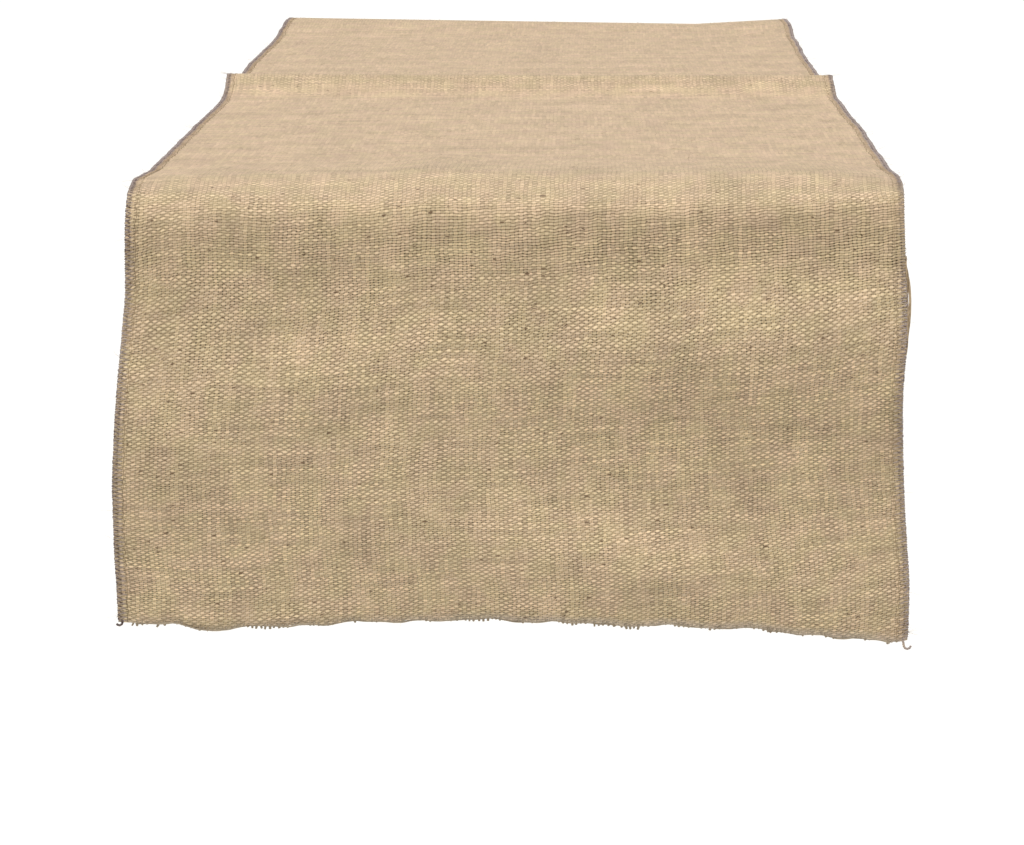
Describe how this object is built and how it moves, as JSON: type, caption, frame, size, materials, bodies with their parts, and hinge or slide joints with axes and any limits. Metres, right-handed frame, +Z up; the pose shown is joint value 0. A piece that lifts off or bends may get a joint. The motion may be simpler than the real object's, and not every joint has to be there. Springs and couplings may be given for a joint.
{
  "type": "table runner",
  "caption": "Plain-weave jute table runner draped lengthwise over a table, raw cut ends, overlocked long edges, raised fold crease across the middle.",
  "frame": {"origin": "on the tabletop plane, midway between the table's two ends and midway across the runner", "axes": "+X across the runner to its right edge seen from the front drop, +Y along the runner away from the front drop, +Z up from the tabletop"},
  "size_m": [0.4058, 1.3375, 0.2654],
  "materials": {
    "jute_hessian": "natural undyed jute, coarse open plain weave, matt with a faint sheen on the yarns",
    "looper_thread": "greyish mauve spun polyester overlock thread, matt",
    "needle_thread": "dark brown spun polyester sewing thread, matt"
  },
  "bodies": {
    "root": {"hessian_panel": "jute_hessian", "front_loose_weft_yarn": "jute_hessian", "back_loose_weft_yarn": "jute_hessian", "left_needle_thread": "needle_thread", "left_upper_looper_thread": "looper_thread", "left_lower_looper_thread": "looper_thread", "right_needle_thread": "needle_thread", "right_upper_looper_thread": "looper_thread", "right_lower_looper_thread": "looper_thread", "front_left_thread_tail": "looper_thread", "front_right_thread_tail": "looper_thread", "back_left_thread_tail": "looper_thread", "back_right_thread_tail": "looper_thread"}
  },
  "joints": []
}
